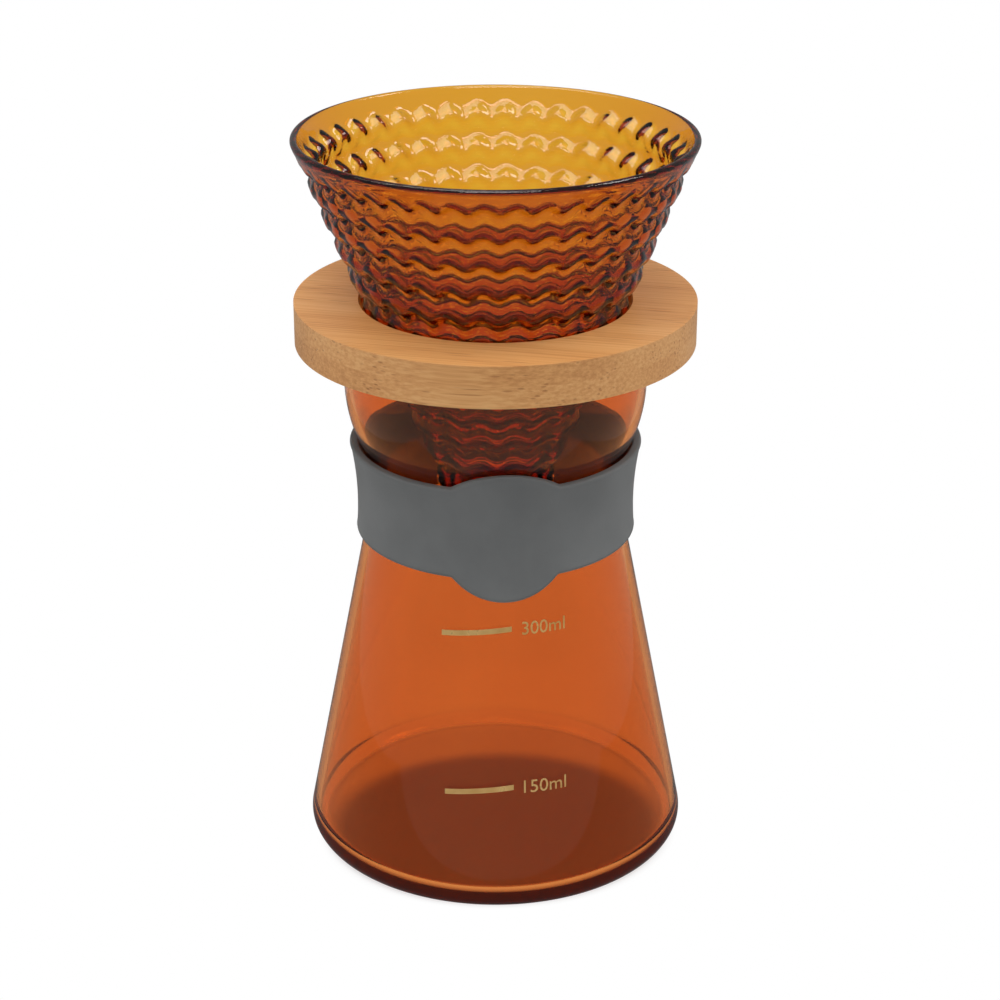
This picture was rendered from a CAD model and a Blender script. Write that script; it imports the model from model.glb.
from math import acos, asin, atan2, ceil, cos, hypot, pi, radians, sin, sqrt, tan

import bmesh
import bpy
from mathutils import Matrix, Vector


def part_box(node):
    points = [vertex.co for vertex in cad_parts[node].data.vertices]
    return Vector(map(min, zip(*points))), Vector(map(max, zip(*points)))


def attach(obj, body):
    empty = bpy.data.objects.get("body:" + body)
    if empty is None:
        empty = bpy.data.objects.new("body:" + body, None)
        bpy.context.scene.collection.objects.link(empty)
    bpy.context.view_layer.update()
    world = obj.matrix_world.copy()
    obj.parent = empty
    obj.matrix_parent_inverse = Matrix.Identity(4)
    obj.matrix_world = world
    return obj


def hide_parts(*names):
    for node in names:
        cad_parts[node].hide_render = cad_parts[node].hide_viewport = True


# Pour-over coffee maker: waisted amber glass carafe with printed volume marks, grey silicone grip
# sleeve, two-ply bamboo collar, and an amber glass dripper pressed into rows of dimples.
# Outlines are written in millimetres as (radius, height) and turned about Z; the front is -Y.

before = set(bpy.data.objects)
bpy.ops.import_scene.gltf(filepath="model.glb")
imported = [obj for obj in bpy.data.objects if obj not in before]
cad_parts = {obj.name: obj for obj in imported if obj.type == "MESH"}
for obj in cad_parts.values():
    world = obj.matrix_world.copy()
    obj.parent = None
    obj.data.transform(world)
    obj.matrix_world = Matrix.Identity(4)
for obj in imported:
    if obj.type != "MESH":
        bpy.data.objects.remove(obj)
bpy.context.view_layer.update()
MM = 0.001

# Carafe
BASE_R = 46.2
WAIST_R = 30.0
WAIST_H = 90.0
MOUTH_R = 35.5
NECK_ROUND = 37.3
GLASS_WALL = 1.8
GLASS_FLOOR = 2.5
FOOT_ROUND = 3.8
FLOOR_ROUND = 4.0
CARAFE_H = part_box("carafe")[1][2] / MM
GLASS_SIDES = 240
GLASS_STEP = 4.0
FLOOR_STEP = 6.0
NECK_STEP = radians(1.2)
RIM_STEP = radians(12)

# Printed marks
MARK_150_H = 29.7
MARK_300_H = 67.3
MARK_LENGTH = 16.0
MARK_LINE = 1.2
MARK_OFFSET = 6.6
MARK_TILT = radians(6.0)
MARK_FILM = 0.1
FILM_ROOM = 0.02
WORDS_START = 3.8
WORDS_END = 13.9
WORDS_HEIGHT = 3.0
WORDS_CURVE_STEPS = 5
MARK_CUTS = 15

# Grip sleeve
BAND_LOW = 80.3
BAND_TOP = 102.8
LOBE_RISE = 4.1
LOBE_DROP = 5.4
LOBE_HALF = 12.2
SLEEVE_WALL = 3.0
SLEEVE_EDGE = 1.7
SLEEVE_ROOM = 0.15
LIP_ROUND = 0.6
SLEEVE_SIDES = 360
SLEEVE_LEVELS = 26

# Bamboo collar
COLLAR_R = 46.7
HOLE_R = 31.8
MOUTH_HOLE_R = 35.9
ARRIS = 0.3
PLY_SIDES = 256

# Dripper
RIM_R = 46.3
DRIPPER_H = 88.0
DRIPPER_ANGLE = radians(21.65)
DRIPPER_WALL = 2.2
OUTLET_R = 8.0
LIP_THICK = 1.7
RIDGE = 0.2
DIMPLE_DEPTH = 2.0
DIMPLE_WAVE = 0.45
DIMPLE_ARCH = 0.16
DIMPLE_BLEND = 0.2
FIRST_ROW = 7.8
ROW_PITCH = 7.1
DIMPLE_ROWS = 11
DIMPLE_PITCH = 6.9
PITCH_GROWTH = 0.19
DRIPPER_TURN = radians(-2.7)
NOSE_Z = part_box("dripper")[0][2] / MM
DRIPPER_SIDES = 400
DRIPPER_STEP = 0.8
NOSE_ROUND = 0.5
ROW_REACH = 1.5
WALL_TOLERANCE = 0.05


# Shaping

def deselect():
    bpy.ops.object.select_all(action="DESELECT")


def arc(at, r, start, end, step=radians(3.0)):
    """Points of an arc about a centre, from one angle to another."""
    steps = max(2, ceil(abs(end - start) / step))
    angles = [start + (end - start) * i / steps for i in range(steps + 1)]
    return [(at[0] + r * cos(a), at[1] + r * sin(a)) for a in angles]


def line(start, end, step):
    """Points of a straight stretch, without its last point."""
    steps = max(1, round(hypot(end[0] - start[0], end[1] - start[1]) / step))
    return [
        (start[0] + (end[0] - start[0]) * i / steps, start[1] + (end[1] - start[1]) * i / steps)
        for i in range(steps)
    ]


def turned(name, outline, sides):
    """A closed piece turned on Z: one point is drawn out along the outline, and the line is spun."""
    deselect()
    start = Vector((outline[0][0], 0, outline[0][1])) * MM
    bpy.ops.mesh.primitive_plane_add(size=MM, location=start)
    piece = bpy.context.object
    piece.name = name
    bpy.ops.object.transform_apply(location=True, rotation=True, scale=True)
    bpy.ops.object.mode_set(mode="EDIT")
    bpy.ops.mesh.select_all(action="SELECT")
    bpy.ops.mesh.merge(type="CENTER")
    for here, there in zip(outline, outline[1:]):
        step = ((there[0] - here[0]) * MM, 0, (there[1] - here[1]) * MM)
        bpy.ops.mesh.extrude_region_move(TRANSFORM_OT_translate={"value": step})
    bpy.ops.mesh.select_all(action="SELECT")
    bpy.ops.mesh.spin(steps=sides, angle=2 * pi, center=(0, 0, 0), axis=(0, 0, 1))
    bpy.ops.mesh.select_all(action="SELECT")
    bpy.ops.mesh.remove_doubles(threshold=0.002 * MM)
    bpy.ops.mesh.dissolve_degenerate(threshold=0.001 * MM)
    bpy.ops.mesh.select_all(action="SELECT")
    bpy.ops.mesh.normals_make_consistent(inside=False)
    bpy.ops.object.mode_set(mode="OBJECT")
    return piece


def smooth(piece, angle=radians(40.0)):
    deselect()
    piece.select_set(True)
    bpy.context.view_layer.objects.active = piece
    bpy.ops.object.shade_smooth_by_angle(angle=angle)


def finished(piece, body, material, node):
    """Gives a piece its material, and says what carries it and what it stands for."""
    piece.data.materials.clear()
    piece.data.materials.append(material)
    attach(piece, body)
    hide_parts(node)


# Carafe outline, from its arcs and their common tangents

foot_at = (BASE_R - FOOT_ROUND, FOOT_ROUND)
waist_at = (WAIST_R + NECK_ROUND, WAIST_H)
gap = (waist_at[0] - foot_at[0], waist_at[1] - foot_at[1])
cone_angle = asin((NECK_ROUND + FOOT_ROUND) / hypot(*gap)) - atan2(gap[0], gap[1])
flare_angle = acos(1 - (MOUTH_R - WAIST_R) / (2 * NECK_ROUND))
mouth_at = (MOUTH_R - NECK_ROUND, WAIST_H + 2 * NECK_ROUND * sin(flare_angle))
cone_top = waist_at[1] - NECK_ROUND * sin(cone_angle)
cone_top_r = waist_at[0] - NECK_ROUND * cos(cone_angle)
flare_top = waist_at[1] + NECK_ROUND * sin(flare_angle)


def cone_r(z):
    """Outside radius of the carafe's cone at a height."""
    return cone_top_r + (cone_top - z) * tan(cone_angle)


def glass_r(z):
    """Outside radius of the carafe at a height on its cone, waist, flare or mouth."""
    if z < cone_top:
        return cone_r(z)
    if z < flare_top:
        return waist_at[0] - sqrt(NECK_ROUND ** 2 - (z - waist_at[1]) ** 2)
    if z < mouth_at[1]:
        return mouth_at[0] + sqrt(NECK_ROUND ** 2 - (z - mouth_at[1]) ** 2)
    return MOUTH_R


def carafe():
    floor_z = GLASS_FLOOR + FLOOR_ROUND
    floor_at = (cone_r(floor_z) - (GLASS_WALL + FLOOR_ROUND) / cos(cone_angle), floor_z)
    rim_round = GLASS_WALL / 2
    rim_at = (MOUTH_R - rim_round, CARAFE_H - rim_round)
    foot = arc(foot_at, FOOT_ROUND, -pi / 2, cone_angle)
    waist = arc(waist_at, NECK_ROUND, pi + cone_angle, pi - flare_angle, NECK_STEP)
    mouth = arc(mouth_at, NECK_ROUND, -flare_angle, 0, NECK_STEP)
    rim = arc(rim_at, rim_round, 0, pi, RIM_STEP)
    mouth_inside = arc(mouth_at, NECK_ROUND - GLASS_WALL, 0, -flare_angle, NECK_STEP)
    waist_inside = arc(waist_at, NECK_ROUND + GLASS_WALL, pi - flare_angle, pi + cone_angle, NECK_STEP)
    floor = arc(floor_at, FLOOR_ROUND, cone_angle, -pi / 2)
    outline = line((0, 0), foot[0], FLOOR_STEP) + foot[:-1]
    outline += line(foot[-1], waist[0], GLASS_STEP) + waist + mouth[1:-1]
    outline += line(mouth[-1], rim[0], GLASS_STEP) + rim[:-1]
    outline += line(rim[-1], mouth_inside[0], GLASS_STEP) + mouth_inside + waist_inside[1:-1]
    outline += line(waist_inside[-1], floor[0], GLASS_STEP) + floor[:-1]
    outline += line(floor[-1], (0, GLASS_FLOOR), FLOOR_STEP) + [(0, GLASS_FLOOR)]
    return turned("carafe_glass", outline, GLASS_SIDES)


# Printed marks: a line and its number, laid on the cone as thin film

def on_cone(flat, h):
    """Place on the carafe's cone of a point of flat print: across, up and off the glass."""
    x, y, off = flat[0] / MM, flat[1] / MM, flat[2] / MM
    z = h + y + (min(x, MARK_LENGTH / 2 - MARK_OFFSET) + MARK_OFFSET) * tan(MARK_TILT)
    r = cone_r(z) + FILM_ROOM + off
    return Vector((x, -sqrt(r * r - x * x), z)) * MM


def printed_mark(name, words, h):
    deselect()
    bpy.ops.object.text_add()
    print_words = bpy.context.object
    print_words.data.body = words
    print_words.data.resolution_u = WORDS_CURVE_STEPS
    print_words.data.extrude = MARK_FILM * MM / 2
    bpy.ops.object.convert(target="MESH")
    places = [v.co for v in print_words.data.vertices]
    low = Vector((min(c[0] for c in places), min(c[1] for c in places)))
    high = Vector((max(c[0] for c in places), max(c[1] for c in places)))
    wide = (WORDS_END - WORDS_START) * MM / (high[0] - low[0])
    tall = WORDS_HEIGHT * MM / (high[1] - low[1])
    for v in print_words.data.vertices:
        v.co[0] = WORDS_START * MM + (v.co[0] - low[0]) * wide
        v.co[1] = (v.co[1] - low[1]) * tall - WORDS_HEIGHT * MM / 2
        v.co[2] += MARK_FILM * MM / 2

    deselect()
    bpy.ops.mesh.primitive_plane_add(size=MM, location=(-MARK_OFFSET * MM, 0, 0))
    mark = bpy.context.object
    mark.name = name
    bpy.ops.object.mode_set(mode="EDIT")
    bpy.ops.mesh.select_all(action="SELECT")
    bpy.ops.transform.resize(value=(MARK_LENGTH, MARK_LINE, 1))
    bpy.ops.mesh.subdivide(number_cuts=MARK_CUTS)
    bpy.ops.mesh.extrude_region_move(TRANSFORM_OT_translate={"value": (0, 0, MARK_FILM * MM)})
    bpy.ops.mesh.select_all(action="SELECT")
    bpy.ops.mesh.normals_make_consistent(inside=False)
    bpy.ops.object.mode_set(mode="OBJECT")
    bpy.ops.object.transform_apply(location=True, rotation=True, scale=True)

    print_words.select_set(True)
    mark.select_set(True)
    bpy.context.view_layer.objects.active = mark
    bpy.ops.object.join()
    for v in mark.data.vertices:
        v.co = on_cone(v.co, h)
    return mark


# Grip sleeve: a turned band with rounded edges, drawn up and down to the badge lobe at the front

def sleeve_arc():
    """Centre and radius of the arc of the sleeve's outside, through its two lobe tips and its waist."""
    low, high = BAND_LOW - LOBE_DROP, BAND_TOP + LOBE_RISE
    a = Vector((glass_r(low) + SLEEVE_EDGE, low))
    b = Vector((WAIST_R + SLEEVE_WALL, WAIST_H))
    c = Vector((glass_r(high) + SLEEVE_EDGE, high))
    d = 2 * (a[0] * (b[1] - c[1]) + b[0] * (c[1] - a[1]) + c[0] * (a[1] - b[1]))
    aa, bb, cc = a.dot(a), b.dot(b), c.dot(c)
    r = (aa * (b[1] - c[1]) + bb * (c[1] - a[1]) + cc * (a[1] - b[1])) / d
    z = (aa * (c[0] - b[0]) + bb * (a[0] - c[0]) + cc * (b[0] - a[0])) / d
    return r, z, (Vector((r, z)) - b).length


sleeve_r, sleeve_z, sleeve_round = sleeve_arc()


def sleeve_out(z):
    return sleeve_r - sqrt(sleeve_round ** 2 - (z - sleeve_z) ** 2)


def sleeve_in(z):
    return glass_r(z) + SLEEVE_ROOM


def lobe_shift(x):
    """How far the sleeve's top edge rises and its low edge drops at a place across the front."""
    if abs(x) >= LOBE_HALF:
        return 0.0, 0.0
    top_r = (LOBE_HALF ** 2 + LOBE_RISE ** 2) / (2 * LOBE_RISE)
    low_r = (LOBE_HALF ** 2 + LOBE_DROP ** 2) / (2 * LOBE_DROP)
    rise = LOBE_RISE - top_r + sqrt(top_r ** 2 - x * x)
    drop = LOBE_DROP - low_r + sqrt(low_r ** 2 - x * x)
    return rise, drop


def ease(t):
    t = min(1.0, max(0.0, t))
    return t * t * (3 - 2 * t)


def grip_sleeve():
    straight = BAND_TOP - BAND_LOW - 2 * LIP_ROUND
    levels = [BAND_LOW + LIP_ROUND + straight * i / SLEEVE_LEVELS for i in range(SLEEVE_LEVELS + 1)]
    outside = [(sleeve_out(z), z) for z in levels]
    inside = [(sleeve_in(z), z) for z in reversed(levels)]
    top_out = (sleeve_out(BAND_TOP) - LIP_ROUND, BAND_TOP - LIP_ROUND)
    top_in = (sleeve_in(BAND_TOP) + LIP_ROUND, BAND_TOP - LIP_ROUND)
    low_out = (sleeve_out(BAND_LOW) - LIP_ROUND, BAND_LOW + LIP_ROUND)
    low_in = (sleeve_in(BAND_LOW) + LIP_ROUND, BAND_LOW + LIP_ROUND)
    turn = radians(15)
    top = arc(top_out, LIP_ROUND, 0, pi / 2, turn) + arc(top_in, LIP_ROUND, pi / 2, pi, turn)
    low = arc(low_in, LIP_ROUND, pi, 1.5 * pi, turn) + arc(low_out, LIP_ROUND, -pi / 2, 0, turn)
    outline = outside[:-1] + top + inside[1:-1] + low
    piece = turned("grip_sleeve_band", outline, SLEEVE_SIDES)
    for v in piece.data.vertices:
        if v.co[1] > 0:
            continue
        x, z = v.co[0] / MM, v.co[2] / MM
        rise, drop = lobe_shift(x)
        if rise == 0 and drop == 0:
            continue
        r = hypot(v.co[0], v.co[1]) / MM
        share = (r - sleeve_in(z)) / (sleeve_out(z) - sleeve_in(z))
        middle = (BAND_LOW + BAND_TOP) / 2
        reach = (BAND_TOP - BAND_LOW) / 2 - 2 * LIP_ROUND
        if z > middle:
            moved = z + rise * ease((z - middle) / reach)
        else:
            moved = z - drop * ease((middle - z) / reach)
        wide = sleeve_in(moved) + share * (sleeve_out(moved) - sleeve_in(moved))
        v.co[0] *= wide / r
        v.co[1] *= wide / r
        v.co[2] = moved * MM
    return piece


# Bamboo plies: a ring drawn in to the hole, raised to its thickness, with softened arrises

def ply_ring(name, node, hole):
    low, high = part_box(node)[0][2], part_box(node)[1][2]
    deselect()
    bpy.ops.mesh.primitive_circle_add(
        vertices=PLY_SIDES, radius=COLLAR_R * MM, fill_type="NOTHING", location=(0, 0, low)
    )
    piece = bpy.context.object
    piece.name = name
    bpy.ops.object.transform_apply(location=True, rotation=True, scale=True)
    bpy.ops.object.mode_set(mode="EDIT")
    bpy.ops.mesh.select_all(action="SELECT")
    bpy.ops.mesh.extrude_edges_move()
    bpy.ops.transform.resize(value=(hole / COLLAR_R, hole / COLLAR_R, 1), center_override=(0, 0, low))
    bpy.ops.mesh.select_all(action="SELECT")
    bpy.ops.mesh.extrude_region_move(TRANSFORM_OT_translate={"value": (0, 0, high - low)})
    bpy.ops.mesh.select_all(action="SELECT")
    bpy.ops.mesh.normals_make_consistent(inside=False)
    bpy.ops.mesh.select_all(action="DESELECT")
    shape = bmesh.from_edit_mesh(piece.data)
    close_by = 0.01 * MM
    for edge in shape.edges:
        a, b = (v.co for v in edge.verts)
        level = abs(a[2] - b[2]) < close_by
        round_edge = abs(hypot(a[0], a[1]) - hypot(b[0], b[1])) < close_by
        edge.select = level and round_edge
    bmesh.update_edit_mesh(piece.data)
    bpy.ops.mesh.bevel(offset=ARRIS * MM, segments=3, affect="EDGES")
    bpy.ops.object.mode_set(mode="OBJECT")
    return piece


# Dripper: a turned glass cone whose wall is pressed into rows of round dimples, which are beads inside

slope = tan(DRIPPER_ANGLE)
lip_round = LIP_THICK / 2
lip_at = (RIM_R - lip_round, DRIPPER_H - lip_round)
skin = DRIPPER_WALL / cos(DRIPPER_ANGLE)
nose_r = lip_at[0] + lip_round / cos(DRIPPER_ANGLE) - lip_at[1] * slope


def dripper_r(z):
    """Outside radius of the dripper's wall at a height over its nose."""
    return nose_r + z * slope


def deeper(depth, other):
    """The larger of two depths, with a soft change from one to the other."""
    step = other - depth
    return depth + (step + sqrt(step ** 2 + DIMPLE_BLEND ** 2)) / 2


def pressed(z, angle):
    """How deep the wall is pressed in at a height of its outside over the nose and an angle round it."""
    first_z = DRIPPER_H - FIRST_ROW
    depth = 0.0
    for row in range(DIMPLE_ROWS):
        row_z = first_z - row * ROW_PITCH
        up = (z - row_z) / (ROW_PITCH / 2)
        if abs(up) > ROW_REACH:
            continue
        pitch = pi / round(pi * dripper_r(row_z) / (DIMPLE_PITCH + row * PITCH_GROWTH))
        wave = -cos(2 * pi * (angle - DRIPPER_TURN + pi / 2) / pitch)
        across = min(1.0, max(-1.0, up - DIMPLE_ARCH * wave))
        depth = deeper(depth, (DIMPLE_DEPTH + DIMPLE_WAVE * wave) * (1 + cos(pi * across)) / 2)
    return depth - RIDGE * ease((first_z + ROW_PITCH / 2 - z) / ROW_PITCH)


def dripper():
    lip = arc(lip_at, lip_round, -DRIPPER_ANGLE, pi - DRIPPER_ANGLE, radians(15))
    floor_r = dripper_r(DRIPPER_WALL) - skin
    nose_out = (dripper_r(NOSE_ROUND) - NOSE_ROUND / cos(DRIPPER_ANGLE), NOSE_ROUND)
    nose_in = (OUTLET_R + NOSE_ROUND, NOSE_ROUND)
    nose = arc(nose_in, NOSE_ROUND, pi, 1.5 * pi, radians(45))
    nose += arc(nose_out, NOSE_ROUND, -pi / 2, -DRIPPER_ANGLE, radians(35))
    floor = [(floor_r, DRIPPER_WALL), (OUTLET_R, DRIPPER_WALL)]
    outline = nose + line(nose[-1], lip[0], DRIPPER_STEP)[1:] + lip
    outline += line(lip[-1], floor[0], DRIPPER_STEP)[1:] + floor
    outline.append(outline[0])
    piece = turned("dripper_glass", outline, DRIPPER_SIDES)
    for v in piece.data.vertices:
        r, z = hypot(v.co[0], v.co[1]) / MM, v.co[2] / MM
        off = dripper_r(z) - r
        outside = z > 2 * NOSE_ROUND and abs(off) < WALL_TOLERANCE
        inside = DRIPPER_WALL + 2 * NOSE_ROUND < z < lip_at[1] and off > LIP_THICK
        depth = 0.0
        if outside or inside:
            depth = pressed(z - off * sin(DRIPPER_ANGLE) * cos(DRIPPER_ANGLE), atan2(v.co[1], v.co[0]))
        narrow = 1 - depth * cos(DRIPPER_ANGLE) / r
        v.co[0] *= narrow
        v.co[1] *= narrow
        v.co[2] += (NOSE_Z + depth * sin(DRIPPER_ANGLE)) * MM
    return piece


# Shading

class Wire:
    """One value in a tree of shader nodes: arithmetic on it adds Math nodes."""

    def __init__(self, finish, socket):
        self.finish = finish
        self.socket = socket

    def maths(self, operation, *values):
        return self.finish.node("ShaderNodeMath", {"operation": operation}, dict(enumerate(values)))

    def __add__(self, other):
        return self.maths("ADD", self, other)

    def __radd__(self, other):
        return self.maths("ADD", other, self)

    def __sub__(self, other):
        return self.maths("SUBTRACT", self, other)

    def __rsub__(self, other):
        return self.maths("SUBTRACT", other, self)

    def __mul__(self, other):
        return self.maths("MULTIPLY", self, other)


class Finish:
    """The nodes of a material or of the world."""

    def __init__(self, owner):
        owner.use_nodes = True
        self.owner = owner
        self.tree = owner.node_tree
        self.tree.nodes.clear()

    def node(self, kind, settings=None, inputs=None, out=0):
        made = self.tree.nodes.new(kind)
        for key, value in (settings or {}).items():
            if key == "stops":
                ramp = made.color_ramp.elements
                while len(ramp) < len(value):
                    ramp.new(1.0)
                for stop, (position, colour) in zip(ramp, value):
                    stop.position = position
                    stop.color = (*colour, 1.0)
            else:
                setattr(made, key, value)
        for key, value in (inputs or {}).items():
            if isinstance(value, Wire):
                self.tree.links.new(value.socket, made.inputs[key])
            else:
                made.inputs[key].default_value = value
        return Wire(self, made.outputs[out])

    def place(self, turn=(0, 0, 0), scale=(1, 1, 1), shift=(0, 0, 0)):
        """Object coordinates, moved and turned first and then stretched."""
        spot = self.node("ShaderNodeTexCoord", out="Object")
        spot = self.node("ShaderNodeMapping", None, {"Vector": spot, "Location": shift, "Rotation": turn})
        return self.node("ShaderNodeVectorMath", {"operation": "MULTIPLY"}, {0: spot, 1: scale})

    def noise(self, place, scale, detail=2.0, roughness=0.5):
        return self.node(
            "ShaderNodeTexNoise", None,
            {"Vector": place, "Scale": scale, "Detail": detail, "Roughness": roughness},
        )

    def span(self, value, low, high, to_low=0.0, to_high=1.0):
        return self.node(
            "ShaderNodeMapRange", {"interpolation_type": "SMOOTHSTEP"},
            {"Value": value, "From Min": low, "From Max": high, "To Min": to_low, "To Max": to_high},
        )

    def blend(self, share, a, b):
        """Colour a where the share is 0, and b where it is 1."""
        return self.node("ShaderNodeMix", {"data_type": "RGBA"}, {0: share, 6: a, 7: b}, out=2)

    def bump(self, height, distance):
        return self.node("ShaderNodeBump", None, {"Height": height, "Distance": distance})

    def close(self, surface, volume=None):
        inputs = {"Surface": surface}
        if volume:
            inputs["Volume"] = volume
        kind = "World" if isinstance(self.owner, bpy.types.World) else "Material"
        made = self.tree.nodes.new(f"ShaderNodeOutput{kind}")
        for key, value in inputs.items():
            self.tree.links.new(value.socket, made.inputs[key])
        return self.owner


def colour(r, g, b):
    """A colour written as it looks on screen, from 0 to 255."""
    parts = [c / 255 for c in (r, g, b)]
    return tuple(c / 12.92 if c <= 0.04045 else ((c + 0.055) / 1.055) ** 2.4 for c in parts) + (1.0,)


def amber_glass(name, clear, deep, absorb, density, ripple, ripple_scale):
    """Clear amber glass: drifts of colour, a polished skin with slight waves, dull where it stands."""
    f = Finish(bpy.data.materials.new(name))
    drift = f.noise(f.place(scale=(1, 1, 0.6)), 28.0, 2.0)
    tint = f.blend(f.span(drift, 0.3, 0.7), clear, deep)
    smear = f.noise(f.place(), 90.0, 3.0)
    height = f.node("ShaderNodeSeparateXYZ", None, {0: f.place()}, out=2)
    dull = f.span(height, 0.1 * MM, 0.6 * MM, 0.4, 0.0)
    rough = f.span(smear, 0.35, 0.8, 0.0, 0.03) + dull
    waves = f.noise(f.place(scale=(1, 1, 0.45)), ripple_scale, 2.0)
    skin = f.bump(waves, ripple)
    glass = f.node(
        "ShaderNodeBsdfPrincipled", None,
        {
            "Base Color": tint, "Roughness": rough, "Normal": skin,
            "IOR": 1.48, "Transmission Weight": 1.0,
        },
    )
    soak = f.node("ShaderNodeVolumeAbsorption", None, {"Color": absorb, "Density": density})
    return f.close(glass, soak)


def bamboo(name, turn, shift):
    """Sanded bamboo: long fibres with dark bundles, glued strips, the same all through the wood."""
    f = Finish(bpy.data.materials.new(name))
    grain = dict(turn=(0, 0, turn), shift=shift)
    fibres = f.noise(f.place(scale=(22, 1500, 1500), **grain), 1.0, 3.0, 0.6)
    strands = f.noise(f.place(scale=(9, 260, 260), **grain), 1.0, 2.0)
    drift = f.noise(f.place(scale=(8, 40, 40), **grain), 1.0, 2.0)
    bundles = f.node(
        "ShaderNodeTexVoronoi", {"feature": "F1"},
        {"Vector": f.place(scale=(70, 1050, 1050), **grain), "Scale": 1.0, "Randomness": 1.0}, out="Distance",
    )
    bundle = f.span(bundles, 0.34, 0.12) * f.span(strands, 0.42, 0.62)
    tone = f.span(drift, 0.3, 0.7) * 0.45 + f.span(fibres, 0.25, 0.75) * 0.55
    dark, middle, pale = (colour(*c)[:3] for c in ((182, 124, 70), (206, 150, 92), (222, 172, 114)))
    wood = f.node("ShaderNodeValToRGB", {"stops": [(0.0, dark), (0.5, middle), (1.0, pale)]}, {"Fac": tone})
    wood = f.blend(bundle * 0.6, wood, colour(150, 96, 52))
    rough = 0.5 - f.span(fibres, 0.3, 0.7) * 0.12 + bundle * 0.1
    skin = f.bump(fibres * 0.6 - bundle, 0.00006)
    shader = f.node(
        "ShaderNodeBsdfPrincipled", None,
        {"Base Color": wood, "Roughness": rough, "Normal": skin, "IOR": 1.45},
    )
    return f.close(shader)


def silicone(name):
    """Matt moulded silicone: fine grain, a little dust-pale mottling."""
    f = Finish(bpy.data.materials.new(name))
    mottle = f.noise(f.place(), 60.0, 4.0, 0.6)
    grain = f.noise(f.place(), 2600.0, 2.0)
    base = f.blend(f.span(mottle, 0.3, 0.75), colour(100, 102, 102), colour(108, 110, 110))
    rough = f.span(mottle, 0.3, 0.7, 0.56, 0.68)
    skin = f.bump(grain, 0.00002)
    shader = f.node(
        "ShaderNodeBsdfPrincipled", None,
        {"Base Color": base, "Roughness": rough, "Normal": skin, "IOR": 1.41, "Sheen Weight": 0.08},
    )
    return f.close(shader)


def gold_print(name):
    """Thin metallic gold print with a slightly grainy film."""
    f = Finish(bpy.data.materials.new(name))
    grain = f.noise(f.place(), 1800.0, 2.0)
    patches = f.noise(f.place(), 220.0, 2.0)
    base = f.blend(f.span(patches, 0.35, 0.7), colour(222, 182, 116), colour(206, 162, 96))
    rough = f.span(patches, 0.3, 0.7, 0.26, 0.38)
    shader = f.node(
        "ShaderNodeBsdfPrincipled", None,
        {"Base Color": base, "Roughness": rough, "Metallic": 0.5, "Normal": f.bump(grain, 0.00001)},
    )
    return f.close(shader)


def ray(f, kind):
    """1 for the rays of one kind."""
    return f.node("ShaderNodeLightPath", out=f"Is {kind} Ray")


def studio_floor(name):
    """White table: shadow under the object, plain white for the eye further out, dim for reflections."""
    f = Finish(bpy.data.materials.new(name))
    spot = f.place(shift=(0, 8 * MM, 0), scale=(1, 1.2, 1))
    away = f.node("ShaderNodeVectorMath", {"operation": "LENGTH"}, {0: spot}, out="Value")
    near = f.span(away, 37 * MM, 45.5 * MM, 0.75, 0.0)
    table = f.node("ShaderNodeBsdfDiffuse", None, {"Color": (0.86, 0.86, 0.86, 1)})
    white = f.node("ShaderNodeEmission", None, {"Color": (1, 1, 1, 1), "Strength": 1.0})
    dim = f.node("ShaderNodeEmission", None, {"Color": (1, 1, 1, 1), "Strength": 0.15})
    through = ray(f, "Transmission")
    gloss = ray(f, "Glossy")
    seen = f.node("ShaderNodeMixShader", None, {0: gloss * (1 - through), 1: white, 2: dim})
    looked_at = through.maths("MAXIMUM", ray(f, "Camera"), through.maths("MAXIMUM", through, gloss))
    share = looked_at * (1 - near)
    return f.close(f.node("ShaderNodeMixShader", None, {0: share, 1: table, 2: seen}))


def studio_world(world):
    """Soft room light; white all round for the eye and the glass, a dim ceiling, dim for reflections."""
    f = Finish(world)
    heading = f.node("ShaderNodeTexCoord", out="Generated")
    up = f.node("ShaderNodeSeparateXYZ", None, {0: heading}, out=2)
    camera = ray(f, "Camera")
    through = ray(f, "Transmission")
    gloss = ray(f, "Glossy")
    glass = through * f.span(up, 0.1, 0.5, 1.0, 0.1)
    mirror = gloss * 0.3
    lit = camera.maths("MAXIMUM", camera, camera.maths("MAXIMUM", glass, mirror))
    looked_at = camera.maths("MAXIMUM", camera, camera.maths("MAXIMUM", through, gloss))
    side = f.node("ShaderNodeSeparateXYZ", None, {0: heading}, out=0)
    room = 0.42 + f.span(side.maths("ABSOLUTE", side), 0.3, 0.9) * 0.35
    strength = lit + (1 - looked_at) * room
    return f.close(f.node("ShaderNodeBackground", None, {"Color": (1, 1, 1, 1), "Strength": strength}))


# Pieces

carafe_glass = amber_glass(
    "carafe_amber_glass", clear=(0.79, 0.37, 0.115, 1), deep=(0.77, 0.345, 0.097, 1),
    absorb=(0.80, 0.30, 0.0, 1), density=110.0, ripple=0.00003, ripple_scale=55.0,
)
dripper_glass = amber_glass(
    "dripper_amber_glass", clear=(0.98, 0.90, 0.15, 1), deep=(0.97, 0.87, 0.12, 1),
    absorb=(0.82, 0.44, 0.0, 1), density=1000.0, ripple=0.00002, ripple_scale=240.0,
)
grey_silicone = silicone("grip_grey_silicone")
gold = gold_print("mark_gold_print")
upper_bamboo = bamboo("collar_upper_bamboo", radians(16), (0, 0, 0))
lower_bamboo = bamboo("collar_lower_bamboo", radians(13), (0.37, 0.21, 0.13))

piece = carafe()
smooth(piece)
finished(piece, "carafe_body", carafe_glass, "carafe")

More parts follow.
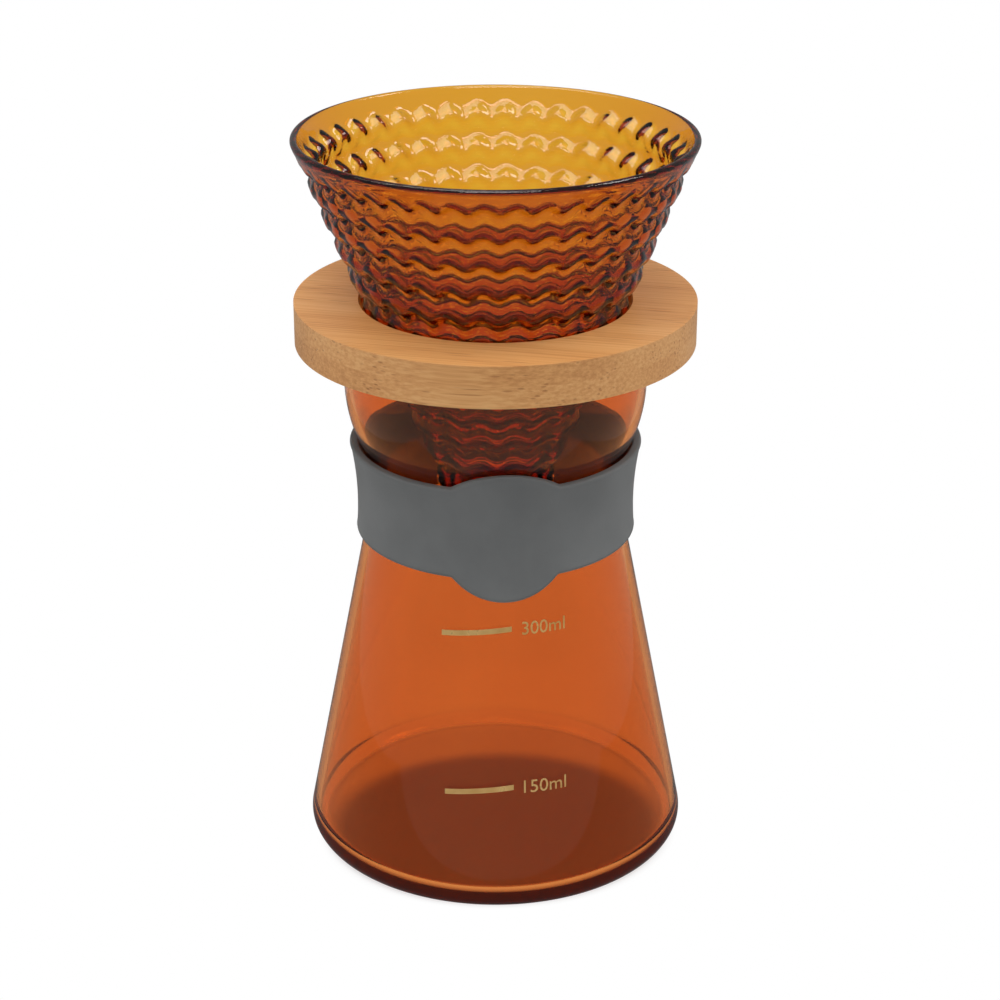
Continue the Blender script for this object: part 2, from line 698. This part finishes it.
for name, words, h in (("mark_150", "150ml", MARK_150_H), ("mark_300", "300ml", MARK_300_H)):
    piece = printed_mark(name + "_print", words, h)
    smooth(piece)
    finished(piece, "carafe_body", gold, name.replace("mark", "graduation"))

piece = grip_sleeve()
smooth(piece, radians(60))
finished(piece, "carafe_body", grey_silicone, "grip_sleeve")

for name, node, hole, wood in (
    ("collar_lower_ring", "collar_lower_ply", MOUTH_HOLE_R, lower_bamboo),
    ("collar_upper_ring", "collar_upper_ply", HOLE_R, upper_bamboo),
):
    piece = ply_ring(name, node, hole)
    smooth(piece, radians(30))
    finished(piece, "collar_body", wood, node)

piece = dripper()
smooth(piece, radians(80))
finished(piece, "dripper_body", dripper_glass, "dripper")

# Studio

TABLE_FRONT = -0.09
TABLE_SIZE = 0.36
TABLE_TOP = -0.02 * MM

deselect()
bpy.ops.mesh.primitive_plane_add(size=TABLE_SIZE, location=(0, TABLE_FRONT + TABLE_SIZE / 2, TABLE_TOP))
floor = bpy.context.object
floor.name = "studio_floor"
bpy.ops.object.transform_apply(location=True, rotation=True, scale=True)
floor.data.materials.append(studio_floor("studio_white_table"))

scene = bpy.context.scene
scene.view_settings.view_transform = "Standard"
scene.world = bpy.data.worlds.new("studio_room")
studio_world(scene.world)


def softbox(name, place, aim, size, watts):
    lamp = bpy.data.lights.new(name, "AREA")
    lamp.shape = "RECTANGLE"
    lamp.size, lamp.size_y = size
    lamp.energy = watts
    box = bpy.data.objects.new(name, lamp)
    scene.collection.objects.link(box)
    box.location = place
    box.rotation_euler = (Vector(aim) - Vector(place)).to_track_quat("-Z", "Y").to_euler()


softbox("overhead_softbox", (-0.15, -0.1, 1.0), (0, 0, 0.1), (0.7, 0.7), 5.0)
softbox("window_softbox", (0.0, -0.62, 0.95), (0, 0, 0.15), (0.6, 0.3), 2.8)
softbox("left_softbox", (-0.7, 0.0, 1.0), (0, 0, 0.1), (0.4, 0.4), 1.0)
softbox("right_softbox", (0.7, 0.0, 1.0), (0, 0, 0.1), (0.4, 0.4), 3.6)

# Camera: its focal length in pixels of the 1000-pixel frame, at the size of one pixel at the object

ELEVATION = radians(23.52)
AZIMUTH = radians(-4.0)
FOCAL_PIXELS = 2414
FRAME_PIXELS = 1000
PIXEL = 0.24 * MM
SENSOR = 36.0
DISTANCE = FOCAL_PIXELS * PIXEL
AIM = Vector((0, 0, 86 * MM))

camera = bpy.data.cameras.new("photo_camera")
camera.sensor_width = SENSOR
camera.lens = SENSOR * FOCAL_PIXELS / FRAME_PIXELS
camera.shift_x = 0.0045
eye = bpy.data.objects.new("photo_camera", camera)
scene.collection.objects.link(eye)
back = Vector((sin(AZIMUTH) * cos(ELEVATION), -cos(AZIMUTH) * cos(ELEVATION), sin(ELEVATION)))
eye.location = AIM + back * DISTANCE
eye.rotation_euler = (-back).to_track_quat("-Z", "Y").to_euler()
scene.camera = eye

bpy.context.view_layer.update()
